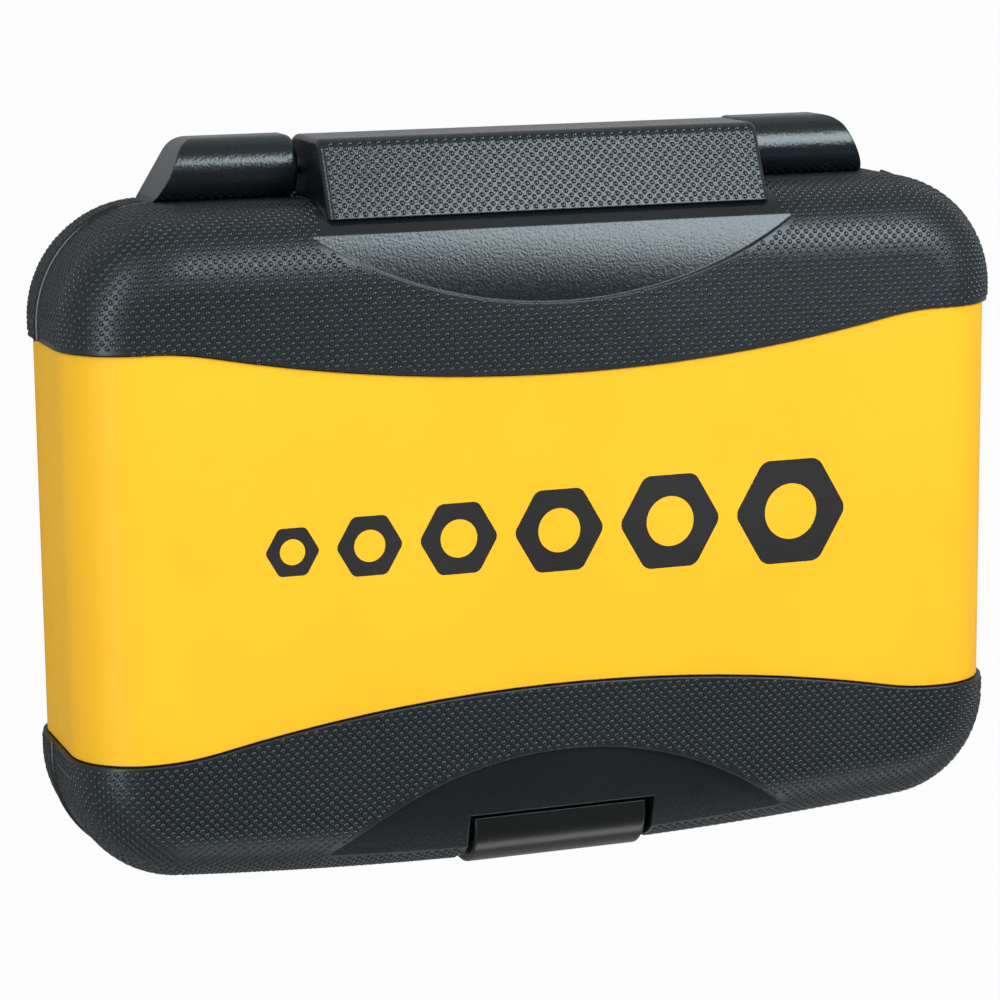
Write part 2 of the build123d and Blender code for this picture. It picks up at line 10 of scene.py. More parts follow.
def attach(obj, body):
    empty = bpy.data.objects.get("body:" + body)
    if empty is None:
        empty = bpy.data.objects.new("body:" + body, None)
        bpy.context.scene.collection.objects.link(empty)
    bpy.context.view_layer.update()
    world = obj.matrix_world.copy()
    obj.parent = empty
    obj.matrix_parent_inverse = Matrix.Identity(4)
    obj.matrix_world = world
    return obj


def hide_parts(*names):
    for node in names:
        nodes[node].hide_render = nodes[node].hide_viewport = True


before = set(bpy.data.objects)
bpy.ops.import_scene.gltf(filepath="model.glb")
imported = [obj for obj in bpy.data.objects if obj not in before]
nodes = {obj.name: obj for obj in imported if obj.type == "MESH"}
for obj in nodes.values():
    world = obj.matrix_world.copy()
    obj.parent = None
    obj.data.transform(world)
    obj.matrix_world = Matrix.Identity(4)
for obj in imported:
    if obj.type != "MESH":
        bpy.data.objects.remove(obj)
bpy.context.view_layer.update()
print("frame loaded,", len(nodes), "nodes")

mm = 0.001


# Small helpers

def deselectAll():
    bpy.ops.object.select_all(action="DESELECT")


def pick(*pieces):
    deselectAll()
    for piece in pieces:
        piece.select_set(True)
    bpy.context.view_layer.objects.active = pieces[0]


def applyPlace(piece):
    pick(piece)
    bpy.ops.object.transform_apply(location=True, rotation=True, scale=True)


def joinPieces(pieces, name):
    pick(*pieces)
    if len(pieces) > 1:
        bpy.ops.object.join()
    piece = bpy.context.object
    piece.name = name
    applyPlace(piece)
    return piece


def applyModifier(piece, kind, **settings):
    pick(piece)
    modifier = piece.modifiers.new(kind.lower(), kind)
    for key, value in settings.items():
        setattr(modifier, key, value)
    bpy.ops.object.modifier_apply(modifier=modifier.name)


def dress(piece, material, body):
    piece.data.materials.clear()
    piece.data.materials.append(material)
    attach(piece, body)


def smoothOver(piece, degrees):
    pick(piece)
    bpy.ops.object.shade_smooth_by_angle(angle=math.radians(degrees))


# Node building

def addNode(tree, kind, inputs=None, **settings):
    node = tree.nodes.new(kind)
    for key, value in settings.items():
        setattr(node, key, value)
    for key, value in (inputs or {}).items():
        node.inputs[key].default_value = value
    return node


def link(tree, source, output, target, socket):
    tree.links.new(source.outputs[output], target.inputs[socket])


def newGroup(name, inputs, outputs):
    tree = bpy.data.node_groups.new(name, "ShaderNodeTree")
    for label, kind, value in inputs:
        socket = tree.interface.new_socket(name=label, in_out="INPUT", socket_type=kind)
        if value is not None:
            socket.default_value = value
    for label, kind in outputs:
        tree.interface.new_socket(name=label, in_out="OUTPUT", socket_type=kind)
    return tree, tree.nodes.new("NodeGroupInput"), tree.nodes.new("NodeGroupOutput")


def mouldGrainGroup():  # fine eroded texture of a mould, with a slow drift in tone
    tree, start, end = newGroup(
        "mouldGrain",
        [("Vector", "NodeSocketVector", None), ("Pebble", "NodeSocketFloat", 900.0),
         ("Fine", "NodeSocketFloat", 3200.0), ("Drift", "NodeSocketFloat", 22.0)],
        [("Height", "NodeSocketFloat"), ("Tone", "NodeSocketFloat")])
    pebble = addNode(tree, "ShaderNodeTexNoise", {"Detail": 1.0, "Roughness": 0.5})
    fine = addNode(tree, "ShaderNodeTexNoise", {"Detail": 2.0, "Roughness": 0.6})
    drift = addNode(tree, "ShaderNodeTexNoise", {"Detail": 5.0, "Roughness": 0.6})
    for node, scale in ((pebble, "Pebble"), (fine, "Fine"), (drift, "Drift")):
        link(tree, start, "Vector", node, "Vector")
        link(tree, start, scale, node, "Scale")
    height = addNode(tree, "ShaderNodeMix", {"Factor": 0.12})  # mostly pebble, a little fine grain
    link(tree, pebble, "Fac", height, 2)
    link(tree, fine, "Fac", height, 3)
    link(tree, height, 0, end, "Height")
    link(tree, drift, "Fac", end, "Tone")
    return tree


def edgeWearGroup():  # rounds sharp edges in the shading and marks where they rub
    tree, start, end = newGroup(
        "edgeWear",
        [("Vector", "NodeSocketVector", None), ("Radius", "NodeSocketFloat", 0.0005),
         ("Breakup", "NodeSocketFloat", 260.0)],
        [("Mask", "NodeSocketFloat"), ("Normal", "NodeSocketVector")])
    bevel = addNode(tree, "ShaderNodeBevel", samples=6)
    link(tree, start, "Radius", bevel, "Radius")
    geometry = addNode(tree, "ShaderNodeNewGeometry")
    turn = addNode(tree, "ShaderNodeVectorMath", operation="DOT_PRODUCT")
    link(tree, bevel, "Normal", turn, 0)
    link(tree, geometry, "Normal", turn, 1)
    edge = addNode(tree, "ShaderNodeMapRange", {"From Min": 0.99, "From Max": 0.8})
    link(tree, turn, "Value", edge, "Value")
    noise = addNode(tree, "ShaderNodeTexNoise", {"Detail": 4.0, "Roughness": 0.65})
    link(tree, start, "Vector", noise, "Vector")
    link(tree, start, "Breakup", noise, "Scale")
    broken = addNode(tree, "ShaderNodeMapRange", {"From Min": 0.42, "From Max": 0.62})
    link(tree, noise, "Fac", broken, "Value")
    mask = addNode(tree, "ShaderNodeMath", operation="MULTIPLY")
    link(tree, edge, "Result", mask, 0)
    link(tree, broken, "Result", mask, 1)
    link(tree, mask, "Value", end, "Mask")
    link(tree, bevel, "Normal", end, "Normal")
    return tree


def roundZoneGroup():  # 1 inside an upright cylinder, fading over its edge
    tree, start, end = newGroup(
        "roundZone",
        [("Vector", "NodeSocketVector", None), ("Centre", "NodeSocketVector", None),
         ("Radius", "NodeSocketFloat", 0.1), ("Fade", "NodeSocketFloat", 0.0004)],
        [("Mask", "NodeSocketFloat")])
    offset = addNode(tree, "ShaderNodeVectorMath", operation="SUBTRACT")
    link(tree, start, "Vector", offset, 0)
    link(tree, start, "Centre", offset, 1)
    flat = addNode(tree, "ShaderNodeVectorMath", operation="MULTIPLY")
    flat.inputs[1].default_value = (1, 1, 0)
    link(tree, offset, "Vector", flat, 0)
    length = addNode(tree, "ShaderNodeVectorMath", operation="LENGTH")
    link(tree, flat, "Vector", length, 0)
    depth = addNode(tree, "ShaderNodeMath", operation="SUBTRACT")
    link(tree, start, "Radius", depth, 0)
    link(tree, length, "Value", depth, 1)
    share = addNode(tree, "ShaderNodeMath", operation="DIVIDE", use_clamp=True)
    link(tree, depth, "Value", share, 0)
    link(tree, start, "Fade", share, 1)
    link(tree, share, "Value", end, "Mask")
    return tree


def hairlineGroup():  # fine scratches from handling, all roughly along one way
    tree, start, end = newGroup(
        "hairlines",
        [("Vector", "NodeSocketVector", None), ("Scale", "NodeSocketFloat", 60.0)],
        [("Mask", "NodeSocketFloat")])
    turned = addNode(tree, "ShaderNodeMapping")
    turned.inputs["Rotation"].default_value = (0.2, 0.1, 0.6)
    turned.inputs["Scale"].default_value = (1.0, 28.0, 9.0)
    link(tree, start, "Vector", turned, "Vector")
    noise = addNode(tree, "ShaderNodeTexNoise", {"Detail": 2.0, "Distortion": 0.4})
    link(tree, turned, "Vector", noise, "Vector")
    link(tree, start, "Scale", noise, "Scale")
    thin = addNode(tree, "ShaderNodeMapRange", {"From Min": 0.66, "From Max": 0.74})
    link(tree, noise, "Fac", thin, "Value")
    link(tree, thin, "Result", end, "Mask")
    return tree


groups = {"grain": mouldGrainGroup(), "wear": edgeWearGroup(), "zone": roundZoneGroup(),
          "hairlines": hairlineGroup()}


def placeGroup(tree, name, inputs=None):
    return addNode(tree, "ShaderNodeGroup", inputs, node_tree=groups[name])


def newMaterial(name):
    material = bpy.data.materials.new(name)
    material.use_nodes = True
    tree = material.node_tree
    shader = tree.nodes["Principled BSDF"]
    place = addNode(tree, "ShaderNodeTexCoord")
    return material, tree, shader, place


def mixColours(tree, factor, output, low, high):
    mix = addNode(tree, "ShaderNodeMix", data_type="RGBA")
    mix.inputs[6].default_value = (*low, 1)
    mix.inputs[7].default_value = (*high, 1)
    link(tree, factor, output, mix, 0)
    return mix


def mouldedPlastic(name, look):
    # one moulded finish: colour drift, grain, hairlines, worn edges and glossier zones
    material, tree, shader, place = newMaterial(name)
    grain = placeGroup(tree, "grain", {"Pebble": look["pebble"], "Fine": look["fine"]})
    wear = placeGroup(tree, "wear", {"Radius": look["edgeRadius"]})
    lines = placeGroup(tree, "hairlines")
    for node in (grain, wear, lines):
        link(tree, place, "Object", node, "Vector")
    tone = addNode(tree, "ShaderNodeMapRange", {"From Min": 0.3, "From Max": 0.7})
    link(tree, grain, "Tone", tone, "Value")
    colour = mixColours(tree, tone, "Result", look["dark"], look["light"])
    rubbed = addNode(tree, "ShaderNodeMix", data_type="RGBA")
    rubbed.inputs[7].default_value = (*look["worn"], 1)
    amount = addNode(tree, "ShaderNodeMath", operation="MULTIPLY")
    amount.inputs[1].default_value = look["wear"]
    link(tree, wear, "Mask", amount, 0)
    link(tree, amount, "Value", rubbed, 0)
    link(tree, colour, 2, rubbed, 6)
    link(tree, rubbed, 2, shader, "Base Color")

    rough = addNode(tree, "ShaderNodeMapRange", {"From Min": 0.25, "From Max": 0.75,
                                                 "To Min": look["roughness"] - look["roughSpan"],
                                                 "To Max": look["roughness"] + look["roughSpan"]})
    link(tree, grain, "Height", rough, "Value")
    scratched = addNode(tree, "ShaderNodeMath", operation="MULTIPLY_ADD", use_clamp=True)
    scratched.inputs[1].default_value = look["scratch"]
    link(tree, lines, "Mask", scratched, 0)
    link(tree, rough, "Result", scratched, 2)

    bump = addNode(tree, "ShaderNodeBump", {"Strength": 1.0, "Distance": look["grainDepth"]})
    link(tree, wear, "Normal", bump, "Normal")
    link(tree, grain, "Height", bump, "Height")
    zones = look.get("glossZones", [])
    if zones:
        inside = None
        for centre, radius in zones:
            zone = placeGroup(tree, "zone", {"Centre": centre, "Radius": radius})
            link(tree, place, "Object", zone, "Vector")
            if inside is None:
                inside, output = zone, "Mask"
            else:
                either = addNode(tree, "ShaderNodeMath", operation="MAXIMUM")
                link(tree, inside, output, either, 0)
                link(tree, zone, "Mask", either, 1)
                inside, output = either, "Value"
        gloss = addNode(tree, "ShaderNodeMath", operation="MULTIPLY_ADD", use_clamp=True)
        gloss.inputs[1].default_value = -look["zoneGloss"]
        link(tree, inside, output, gloss, 0)
        link(tree, scratched, "Value", gloss, 2)
        link(tree, gloss, "Value", shader, "Roughness")
    else:
        link(tree, scratched, "Value", shader, "Roughness")
    link(tree, bump, "Normal", shader, "Normal")
    shader.inputs["Specular IOR Level"].default_value = look["specular"]
    shader.inputs["Specular Tint"].default_value = (*look.get("tint", (1, 1, 1)), 1)
    return material


# Camera, at the photograph's place

cameraView = {
    "place": (-0.29205, 0.15773, 0.82241),
    "right": (0.93982, -0.01096, 0.34149),
    "up": (0.07410, 0.98224, -0.17241),
    "lens": 119.12,
    "sensor": 36.0,
}
bpy.ops.object.camera_add()
camera = bpy.context.object
camera.name = "camera"
rightWay = Vector(cameraView["right"]).normalized()
backWay = rightWay.cross(Vector(cameraView["up"])).normalized()
upWay = backWay.cross(rightWay)
camera.matrix_world = Matrix.Translation(cameraView["place"]) @ Matrix(
    (rightWay, upWay, backWay)).transposed().to_4x4()
camera.data.lens = cameraView["lens"]
camera.data.sensor_width = cameraView["sensor"]
camera.data.clip_start = 0.01
camera.data.clip_end = 50
bpy.context.scene.camera = camera

# Studio: a pale floor, and soft lights from the left, from behind and from the front

studio = {
    "leftLight": {"toward": (-0.72, 0.21, 0.66), "distance": 0.95, "size": (1.15, 0.18),
                  "power": 4.9, "colour": (0.94, 0.98, 1.0)},
    "backLight": {"toward": (0.425, 0.445, 0.788), "distance": 1.00, "size": (0.66, 0.46),
                  "power": 8.0, "colour": (0.94, 0.96, 1.0)},
    "frontLight": {"toward": (0.38, -0.87, 0.31), "distance": 1.00, "size": (0.90, 0.26),
                   "power": 1.4, "colour": (1.0, 1.0, 0.97)},
    "darkWay": (0.36, -0.30, 0.88),     # the dim part of the sky, which the flat faces mirror
    "darkEdges": (0.95, 0.72),          # cosines at which it starts to fade, and has ended
    "darkLevel": 0.15,
    "skyLevel": 0.42,
    "floorSize": 12,
    "floorDrop": 0.0002,
    "floorGlow": 0.97,
    "floorMirror": 0.06,                # share of the glow that glossy rays see
    "floorGreys": (0.36, 0.38),
}


def areaLight(name, light):
    toward = Vector(light["toward"]).normalized()
    bpy.ops.object.light_add(type="AREA", location=toward * light["distance"])
    lamp = bpy.context.object
    lamp.name = name
    lamp.data.shape = "RECTANGLE"
    lamp.data.size, lamp.data.size_y = light["size"]
    lamp.data.energy = light["power"]
    lamp.data.color = light["colour"]
    lamp.rotation_mode = "QUATERNION"
    lamp.rotation_quaternion = toward.to_track_quat("Z", "Y")


for lampName in ("leftLight", "backLight", "frontLight"):
    areaLight(lampName, studio[lampName])

world = bpy.data.worlds.new("studioWorld")
bpy.context.scene.world = world
world.use_nodes = True
tree = world.node_tree
skyPlace = addNode(tree, "ShaderNodeTexCoord")
skyTurn = addNode(tree, "ShaderNodeVectorMath", operation="DOT_PRODUCT")
skyTurn.inputs[1].default_value = Vector(studio["darkWay"]).normalized()
link(tree, skyPlace, "Generated", skyTurn, 0)
skyRamp = addNode(tree, "ShaderNodeMapRange", {
    "From Min": studio["darkEdges"][0], "From Max": studio["darkEdges"][1],
    "To Min": studio["darkLevel"], "To Max": studio["skyLevel"]})
link(tree, skyTurn, "Value", skyRamp, "Value")
skyPath = addNode(tree, "ShaderNodeLightPath")
skyLevel = addNode(tree, "ShaderNodeMix")
link(tree, skyPath, "Is Camera Ray", skyLevel, 0)
link(tree, skyRamp, "Result", skyLevel, 2)
skyLevel.inputs[3].default_value = 1.0  # the camera sees white
link(tree, skyLevel, 0, tree.nodes["Background"], "Strength")
tree.nodes["Background"].inputs["Color"].default_value = (1, 1, 1, 1)

bpy.ops.mesh.primitive_plane_add(size=studio["floorSize"], location=(0, 0, -studio["floorDrop"]))
floor = bpy.context.object
floor.name = "floor"
floorPaper, tree, shader, place = newMaterial("floorPaper")
shader.inputs["Roughness"].default_value = 0.9
shader.inputs["Specular IOR Level"].default_value = 0.1
paperNoise = addNode(tree, "ShaderNodeTexNoise", {"Scale": 4.0, "Detail": 3.0})
link(tree, place, "Object", paperNoise, "Vector")
paper = mixColours(tree, paperNoise, "Fac", *((grey, grey, grey) for grey in studio["floorGreys"]))
link(tree, paper, 2, shader, "Base Color")
glow = addNode(tree, "ShaderNodeEmission")
path = addNode(tree, "ShaderNodeLightPath")
mirrored = addNode(tree, "ShaderNodeMath", operation="MULTIPLY")
mirrored.inputs[1].default_value = studio["floorMirror"]
link(tree, path, "Is Glossy Ray", mirrored, 0)
seen = addNode(tree, "ShaderNodeMath", operation="MAXIMUM")
link(tree, path, "Is Camera Ray", seen, 0)
link(tree, mirrored, "Value", seen, 1)
level = addNode(tree, "ShaderNodeMath", operation="MULTIPLY")
level.inputs[1].default_value = studio["floorGlow"]
link(tree, seen, "Value", level, 0)
blendFloor = addNode(tree, "ShaderNodeMixShader")
link(tree, level, "Value", blendFloor, 0)
link(tree, shader, "BSDF", blendFloor, 1)
link(tree, glow, "Emission", blendFloor, 2)
link(tree, blendFloor, "Shader", tree.nodes["Material Output"], "Surface")
floor.data.materials.append(floorPaper)
bpy.context.scene.view_settings.view_transform = "Standard"
print("camera and studio done")

# Plan of the case, in millimetres, as the dots and the prints need it

casePlan = {
    "halfWidth": 125.0,
    "backY": 78.1,
    "frontY": -92.4,
    "middleY": -7.15,
    "bow": 6.4,
    "backCorner": 29.2,
    "frontCorner": 28.1,
    "parting": 27.8,
    "lidTop": 61.9,
    "lidRounding": 18.5,
    "baseRounding": 17.8,
    "hingeScoop": ((0, 171.1), 119.0),      # middle and radius
    "latchScoop": ((0, -160.1), 98.0),
}

# Materials

blackLook = {
    "dark": (0.0050, 0.0068, 0.0088), "light": (0.0078, 0.0102, 0.0126),
    "worn": (0.07, 0.075, 0.08), "wear": 0.35, "roughness": 0.36, "roughSpan": 0.06,
    "scratch": 0.0, "specular": 0.62, "tint": (0.84, 0.96, 1.0),
    "pebble": 1500.0, "fine": 5200.0, "grainDepth": 0.00006, "edgeRadius": 0.0006,
}
blackZones = {
    "gloss": 0.13,          # how much smoother the scoops and barrels are
    "barrelX": 77.5,
    "barrelY": 95.0,
    "barrelReach": 24.0,
}
scoopZones = [((centre[0] * mm, centre[1] * mm, 0), radius * mm)
              for centre, radius in (casePlan["hingeScoop"], casePlan["latchScoop"])]
barrelZones = [((side * blackZones["barrelX"] * mm, blackZones["barrelY"] * mm, 0),
                blackZones["barrelReach"] * mm) for side in (-1, 1)]
lidBlack = mouldedPlastic("lidBlack", {
    **blackLook, "glossZones": scoopZones, "zoneGloss": blackZones["gloss"]})
baseBlack = mouldedPlastic("baseBlack", {
    **blackLook, "glossZones": barrelZones, "zoneGloss": blackZones["gloss"]})
dotBlack = mouldedPlastic("dotBlack", {**blackLook, "edgeRadius": 0.0001, "wear": 0.0,
                                       "roughness": 0.20, "grainDepth": 0.00001})
coverYellow = mouldedPlastic("coverYellow", {
    "dark": (0.94, 0.498, 0.017), "light": (0.98, 0.532, 0.023), "worn": (1.0, 0.70, 0.14),
    "wear": 0.30, "roughness": 0.50, "roughSpan": 0.05, "scratch": 0.04, "specular": 0.22,
    "pebble": 1300.0, "fine": 4200.0, "grainDepth": 0.00004, "edgeRadius": 0.0004})
latchBlack = mouldedPlastic("latchBlack", {
    "dark": (0.0038, 0.0056, 0.0050), "light": (0.0058, 0.0082, 0.0074),
    "worn": (0.06, 0.064, 0.062), "wear": 0.25, "roughness": 0.24, "roughSpan": 0.03,
    "scratch": 0.10, "specular": 0.55,
    "pebble": 700.0, "fine": 4200.0, "grainDepth": 0.000012, "edgeRadius": 0.0003})
trayGrey = mouldedPlastic("trayGrey", {
    "dark": (0.026, 0.028, 0.030), "light": (0.036, 0.038, 0.041), "worn": (0.10, 0.10, 0.105),
    "wear": 0.35, "roughness": 0.50, "roughSpan": 0.06, "scratch": 0.08, "specular": 0.45,
    "pebble": 1400.0, "fine": 4400.0, "grainDepth": 0.00005, "edgeRadius": 0.0005})
printInk = mouldedPlastic("printInk", {
    "dark": (0.0085, 0.0082, 0.0080), "light": (0.0150, 0.0145, 0.0140),
    "worn": (0.05, 0.04, 0.02), "wear": 0.0, "roughness": 0.52, "roughSpan": 0.07,
    "scratch": 0.05, "specular": 0.4,
    "pebble": 1300.0, "fine": 4200.0, "grainDepth": 0.00005, "edgeRadius": 0.00002})


def turnedSteel(name, look):  # ground or plated steel with fine rings and light stains
    material, tree, shader, place = newMaterial(name)
    grain = placeGroup(tree, "grain", {"Pebble": 600.0, "Fine": 6000.0})
    wear = placeGroup(tree, "wear", {"Radius": 0.0002})
    rings = addNode(tree, "ShaderNodeTexNoise", {"Scale": look["rings"], "Detail": 2.0})
    squeeze = addNode(tree, "ShaderNodeMapping")
    squeeze.inputs["Scale"].default_value = look["squeeze"]
    for node in (grain, wear, squeeze):
        link(tree, place, "Object", node, "Vector")
    link(tree, squeeze, "Vector", rings, "Vector")
    colour = mixColours(tree, grain, "Tone", look["dark"], look["light"])
    link(tree, colour, 2, shader, "Base Color")
    rough = addNode(tree, "ShaderNodeMapRange", {"To Min": look["roughness"] - 0.08,
                                                 "To Max": look["roughness"] + 0.10})
    link(tree, rings, "Fac", rough, "Value")
    link(tree, rough, "Result", shader, "Roughness")
    bump = addNode(tree, "ShaderNodeBump", {"Strength": 1.0, "Distance": 0.000006})
    link(tree, rings, "Fac", bump, "Height")
    link(tree, wear, "Normal", bump, "Normal")
    link(tree, bump, "Normal", shader, "Normal")
    shader.inputs["Metallic"].default_value = 1.0
    return material


pinSteel = turnedSteel("pinSteel", {"dark": (0.50, 0.50, 0.52), "light": (0.66, 0.66, 0.68),
                                    "roughness": 0.28, "rings": 400.0, "squeeze": (6.0, 0.5, 0.5)})
screwSteel = turnedSteel("screwSteel", {"dark": (0.52, 0.53, 0.55), "light": (0.70, 0.71, 0.73),
                                        "roughness": 0.34, "rings": 900.0,
                                        "squeeze": (1.0, 1.0, 1.0)})

nodeFinishes = {
    "lid_shell": lidBlack, "base_shell": baseBlack, "lid_panel": coverYellow,
    "base_panel": coverYellow, "lid_tray": trayGrey, "base_tray": trayGrey, "latch": latchBlack,
    "latch_pin": pinSteel, "hinge_pin_left": pinSteel, "hinge_pin_right": pinSteel,
}
for nodeName, material in nodeFinishes.items():
    nodes[nodeName].data.materials.clear()
    nodes[nodeName].data.materials.append(material)
print("materials done")

# Dotted grain: low domes in a staggered grid that runs over the edges and down the walls

dotGrain = {
    "pitch": 2.46,
    "footRadius": 0.76,
    "steps": ((0.20, 0.60), (0.34, 0.27)),   # height and radius of the dome's two rings
    "sink": 0.05,
    "sides": 8,
    "smoothAngle": 62,
    "gridReach": 150.0,
    "levelReach": 60.0,   # so near the middle every dot is on the flat face
    "edgeMargin": 1.0,
    "fit": 0.30,          # how near the real surface has to be
    "facing": 0.9,        # and how well its normal has to agree
    "crowd": 1.15,        # dots nearer to each other than this get thinned out
    "cornerStart": 17.5,  # distance past the flat part from which the rows follow a corner
    "scoopTop": 50.0,     # above this height and nearer than this to the middle it is smooth
    "scoopHalf": 61.0,
    "seamMargin": 1.3,
    "edgePoints": {"line": 240, "corner": 60, "bow": 220},
}


def modelDot(dot):
    deselectAll()
    bpy.ops.mesh.primitive_circle_add(vertices=dot["sides"], radius=dot["footRadius"] * mm,
                                      fill_type="NGON", location=(0, 0, -dot["sink"] * mm))
    piece = bpy.context.object
    piece.name = "dotModel"
    applyPlace(piece)
    bpy.ops.object.mode_set(mode="EDIT")
    bpy.ops.mesh.select_all(action="SELECT")
    height, radius = -dot["sink"], dot["footRadius"]
    for nextHeight, nextRadius in dot["steps"]:
        bpy.ops.mesh.extrude_region_move(
            TRANSFORM_OT_translate={"value": (0, 0, (nextHeight - height) * mm)})
        shrink = nextRadius / radius
        bpy.ops.transform.resize(value=(shrink, shrink, 1), center_override=(0, 0, nextHeight * mm))
        height, radius = nextHeight, nextRadius
    bpy.ops.mesh.select_all(action="SELECT")
    bpy.ops.mesh.normals_make_consistent(inside=False)
    bpy.ops.object.mode_set(mode="OBJECT")
    return piece


def scatterCopies(name, model, points, normals):
    # one mesh that holds a copy of the model at each point, its own z axis along the normal
    corners = np.array([vertex.co for vertex in model.data.vertices])
    faces = [list(face.vertices) for face in model.data.polygons]
    points, normals = np.array(points), np.array(normals)
    across = np.cross(np.array((0.0, 1.0, 0.0)), normals)
    short = np.linalg.norm(across, axis=1) < 0.1
    across[short] = np.cross(np.array((1.0, 0.0, 0.0)), normals[short])
    across /= np.linalg.norm(across, axis=1)[:, None]
    along = np.cross(normals, across)
    spread = (points[:, None, :] + corners[None, :, 0, None] * across[:, None, :]
              + corners[None, :, 1, None] * along[:, None, :]
              + corners[None, :, 2, None] * normals[:, None, :])
    mesh = bpy.data.meshes.new(name)
    count = len(corners)
    allFaces = [[corner + count * i for corner in face]
                for i in range(len(points)) for face in faces]
    mesh.from_pydata(spread.reshape(-1, 3).tolist(), [], allFaces)
    piece = bpy.data.objects.new(name, mesh)
    bpy.context.scene.collection.objects.link(piece)
    smoothOver(piece, dotGrain["smoothAngle"])
    return piece


def cornerArcs():
    # the two right hand corners of the plan: middle, radius, first and last angle
    plan = casePlan
    backMiddle = (plan["halfWidth"] - plan["backCorner"], plan["backY"] - plan["backCorner"])
    bowRadius = (plan["halfWidth"] ** 2 + plan["bow"] ** 2) / (2 * plan["bow"])
    bowY = plan["frontY"] + bowRadius
    frontX = plan["halfWidth"] - plan["frontCorner"]
    frontY = bowY - math.sqrt((bowRadius - plan["frontCorner"]) ** 2 - frontX ** 2)
    lastAngle = math.atan2(frontY - bowY, frontX)
    return {
        "back": (backMiddle, plan["backCorner"], math.pi / 2, 0),
        "front": ((frontX, frontY), plan["frontCorner"], 0, lastAngle),
        "bow": ((0, bowY), bowRadius, lastAngle, -math.pi / 2),
    }


def caseEdge(rounding):
    # plan of the flat part of one half: close points, outward ways, corner or not
    arcs = cornerArcs()
    counts = dotGrain["edgePoints"]
    points, ways, corners = [], [], []

    def addArc(arc, count, corner):
        (x, y), radius, start, finish = arc
        reach = radius - rounding
        for angle in np.linspace(start, finish, count):
            way = (math.cos(angle), math.sin(angle))
            points.append((x + reach * way[0], y + reach * way[1]))
            ways.append(way)
            corners.append(corner)

    def addLine(first, last, way):
        for share in np.linspace(0, 1, counts["line"], endpoint=False):
            points.append((first[0] + (last[0] - first[0]) * share,
                           first[1] + (last[1] - first[1]) * share))
            ways.append(way)
            corners.append(False)

    backX, backY = arcs["back"][0]
    flatX = casePlan["halfWidth"] - rounding
    flatY = casePlan["backY"] - rounding
    addLine((0, flatY), (backX, flatY), (0, 1))
    addArc(arcs["back"], counts["corner"], True)
    addLine((flatX, backY), (flatX, arcs["front"][0][1]), (1, 0))
    addArc(arcs["front"], counts["corner"], True)
    addArc(arcs["bow"], counts["bow"], False)
    points += [(-x, y) for x, y in points]
    ways += [(-x, y) for x, y in ways]
    return np.array(points), np.array(ways), np.array(corners * 2)


def roundOver(past, rounding, wall):
    # how far out, how far down and how steep the surface is at a distance past the flat part
    quarter = rounding * math.pi / 2
    if past > quarter + wall:
        return None
    turn = min(past, quarter) / rounding
    drop = rounding * (1 - math.cos(turn)) + max(past - quarter, 0)
    return rounding * math.sin(turn), drop, turn


def wrapGrid(rounding, top, way, wall):
    # dot places of a flat grid laid over one half: level on its face, round its edge, then down
    pitch = dotGrain["pitch"]
    steps = int(dotGrain["gridReach"] / pitch)
    grid = [((i + shift) * pitch, (j + shift) * pitch)
            for shift in (0, 0.5) for i in range(-steps, steps) for j in range(-steps, steps)]
    middle = np.array((0.0, casePlan["middleY"]))
    grid = np.array(grid) + middle
    edge, ways, corners = caseEdge(rounding)
    points, normals = [], []
    for spot in grid:
        gaps = spot - edge
        near = int(np.argmin((gaps * gaps).sum(axis=1)))
        out = ways[near]
        past = float(gaps[near] @ out)
        if past <= 0 or np.linalg.norm(spot - middle) < dotGrain["levelReach"]:
            points.append((spot[0], spot[1], top))
            normals.append((0, 0, way))
            continue
        place = roundOver(past, rounding, wall)
        if place and not (corners[near] and past > dotGrain["cornerStart"]):
            ahead, drop, turn = place
            flat = edge[near] + out * ahead + (gaps[near] - out * past)
            points.append((flat[0], flat[1], top - way * drop))
            normals.append((out[0] * math.sin(turn), out[1] * math.sin(turn),
                            way * math.cos(turn)))
    for name in ("back", "front"):  # round the corners the rows follow the edge
        (x, y), radius, start, finish = cornerArcs()[name]
        row, past = 0, dotGrain["cornerStart"] + pitch / 3
        while roundOver(past, rounding, wall):
            ahead, drop, turn = roundOver(past, rounding, wall)
            spread = radius - rounding + ahead
            count = max(round(abs(finish - start) * spread / pitch), 1)
            for i in range(count):
                angle = start + (finish - start) * (i + 0.25 + 0.5 * (row % 2)) / count
                out = (math.cos(angle), math.sin(angle))
                for side in (1, -1):
                    points.append((side * (x + spread * out[0]), y + spread * out[1],
                                   top - way * drop))
                    normals.append((side * out[0] * math.sin(turn), out[1] * math.sin(turn),
                                    way * math.cos(turn)))
            row += 1
            past += pitch / 2
    return np.array(points) * mm, np.array(normals)


def surfaceOf(nodeName):
    mesh = nodes[nodeName].data
    return BVHTree.FromPolygons([vertex.co for vertex in mesh.vertices],
                                [face.vertices for face in mesh.polygons])


def onSurface(surface, points, normals):
    # true where the real surface is there, also a margin away on all four sides
    # such a dot moves onto the surface
    found = np.zeros(len(points), dtype=bool)
    fit = dotGrain["fit"] * mm
    margin = dotGrain["edgeMargin"] * mm
    for i in range(len(points)):
        normal = Vector(normals[i])
        spot = Vector(points[i])
        across = normal.orthogonal().normalized()
        along = normal.cross(across)
        tests = [spot] + [spot + way * margin for way in (across, -across, along, -along)]
        hits = [surface.find_nearest(test, fit) for test in tests]
        found[i] = all(hit[0] is not None and hit[1].dot(normal) > dotGrain["facing"]
                       for hit in hits)
        if found[i]:
            points[i] = hits[0][0]
    return found


